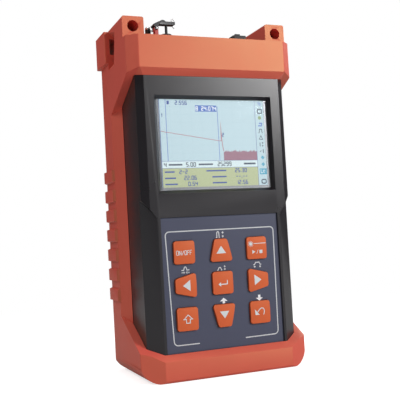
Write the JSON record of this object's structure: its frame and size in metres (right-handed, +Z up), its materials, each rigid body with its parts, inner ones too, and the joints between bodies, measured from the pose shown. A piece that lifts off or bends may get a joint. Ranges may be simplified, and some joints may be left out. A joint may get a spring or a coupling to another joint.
{
  "type": "handheld optical time domain reflectometer",
  "caption": "Handheld fibre tester: colour display over orange keys in a dark housing, held in an orange rubber boot, with capped test ports on its top end.",
  "frame": {"origin": "centre of the base, on the surface that the boot stands on", "axes": "+Z up along the instrument's length, display and keys face -Y, +X to the right as the user sees it"},
  "size_m": [0.1138, 0.07, 0.2205],
  "materials": {
    "boot_rubber": "matt",
    "dark_housing": "fine texture",
    "black_rubber": "matt",
    "clear_lens": "clear",
    "silver_frame": "satin",
    "display_picture": "lit picture",
    "white_plastic": "satin",
    "label_film": "satin film",
    "grey_silicone": "matt",
    "steel": "zinc plated",
    "nickel": "polished",
    "dark_metal": "black plated",
    "circuit_board": "solder mask",
    "black_plastic": "satin",
    "ribbon_film": "polyimide film",
    "module_case": "bead blasted",
    "yellow_jacket": "fibre jacket",
    "battery_wrap": "shrink wrap",
    "ceramic": "polished zirconia",
    "red_block": "satin",
    "orange_key": "matt silicone"
  },
  "bodies": {
    "instrument": {"rubber_boot": "boot_rubber", "front_housing": "dark_housing", "rear_housing": "dark_housing", "battery_door": "dark_housing", "housing_seal": "black_rubber", "battery_pad": "black_rubber", "cover_strap": "black_rubber", "display_lens": "clear_lens", "lcd_frame": "silver_frame", "lcd_panel": "display_picture", "lcd_backlight": "white_plastic", "display_carrier": "white_plastic", "keypad_overlay": "label_film", "keypad_mat": "grey_silicone", "key_domes": "steel", "housing_screws": "steel", "carrier_screws": "steel", "key_board_screws": "steel", "board_screws": "steel", "door_screws": "steel", "usb_socket": "steel", "cap_pin": "steel", "key_board": "circuit_board", "main_board": "circuit_board", "board_chips": "black_plastic", "ribbon_sockets": "black_plastic", "buzzer": "black_plastic", "display_ribbon": "ribbon_film", "keypad_ribbon": "ribbon_film", "optical_module": "module_case", "fibre_spool": "white_plastic", "fibre_pigtail": "yellow_jacket", "battery_pack": "battery_wrap", "port_plate": "black_plastic", "otdr_port": "black_plastic", "otdr_ferrule": "ceramic", "hinge_block": "red_block", "vfl_port": "black_plastic", "dc_jack": "black_plastic"},
    "power_key": {"key_power": "orange_key"},
    "up_key": {"key_up": "orange_key"},
    "run_key": {"key_run": "orange_key"},
    "left_key": {"key_left": "orange_key"},
    "enter_key": {"key_enter": "orange_key"},
    "right_key": {"key_right": "orange_key"},
    "shift_key": {"key_shift": "orange_key"},
    "down_key": {"key_down": "orange_key"},
    "back_key": {"key_back": "orange_key"},
    "ferrule_cap": {"dust_cap": "dark_metal", "cap_plug": "black_rubber", "cap_eye": "steel"},
    "socket_cover": {"port_cover": "black_rubber"},
    "laser_cap": {"vfl_cap": "nickel"}
  },
  "joints": [
    {"name": "power_key_press", "type": "slide", "parent": "instrument", "child": "power_key", "axis": [0, 1, 0], "range_m": [0, 0.001], "stiffness_N_per_m": 1200, "springref_m": -0.0004},
    {"name": "up_key_press", "type": "slide", "parent": "instrument", "child": "up_key", "axis": [0, 1, 0], "range_m": [0, 0.001], "stiffness_N_per_m": 1200, "springref_m": -0.0004},
    {"name": "run_key_press", "type": "slide", "parent": "instrument", "child": "run_key", "axis": [0, 1, 0], "range_m": [0, 0.001], "stiffness_N_per_m": 1200, "springref_m": -0.0004},
    {"name": "left_key_press", "type": "slide", "parent": "instrument", "child": "left_key", "axis": [0, 1, 0], "range_m": [0, 0.001], "stiffness_N_per_m": 1200, "springref_m": -0.0004},
    {"name": "enter_key_press", "type": "slide", "parent": "instrument", "child": "enter_key", "axis": [0, 1, 0], "range_m": [0, 0.001], "stiffness_N_per_m": 1200, "springref_m": -0.0004},
    {"name": "right_key_press", "type": "slide", "parent": "instrument", "child": "right_key", "axis": [0, 1, 0], "range_m": [0, 0.001], "stiffness_N_per_m": 1200, "springref_m": -0.0004},
    {"name": "shift_key_press", "type": "slide", "parent": "instrument", "child": "shift_key", "axis": [0, 1, 0], "range_m": [0, 0.001], "stiffness_N_per_m": 1200, "springref_m": -0.0004},
    {"name": "down_key_press", "type": "slide", "parent": "instrument", "child": "down_key", "axis": [0, 1, 0], "range_m": [0, 0.001], "stiffness_N_per_m": 1200, "springref_m": -0.0004},
    {"name": "back_key_press", "type": "slide", "parent": "instrument", "child": "back_key", "axis": [0, 1, 0], "range_m": [0, 0.001], "stiffness_N_per_m": 1200, "springref_m": -0.0004},
    {"name": "dust_cap_hinge", "type": "hinge", "parent": "instrument", "child": "ferrule_cap", "pos_m": [-0.0331, -0.023, 0.2134], "axis": [0, -1, 0], "range_deg": [0, 96], "stiffness_Nm_per_rad": 0.004, "springref_deg": -20.05},
    {"name": "port_cover_hinge", "type": "hinge", "parent": "instrument", "child": "socket_cover", "pos_m": [0.02185, -0.0181, 0.209], "axis": [-1, 0, 0], "range_deg": [0, 110]},
    {"name": "laser_cap_pull", "type": "slide", "parent": "instrument", "child": "laser_cap", "axis": [0, 0, 1], "range_m": [0, 0.012]}
  ]
}
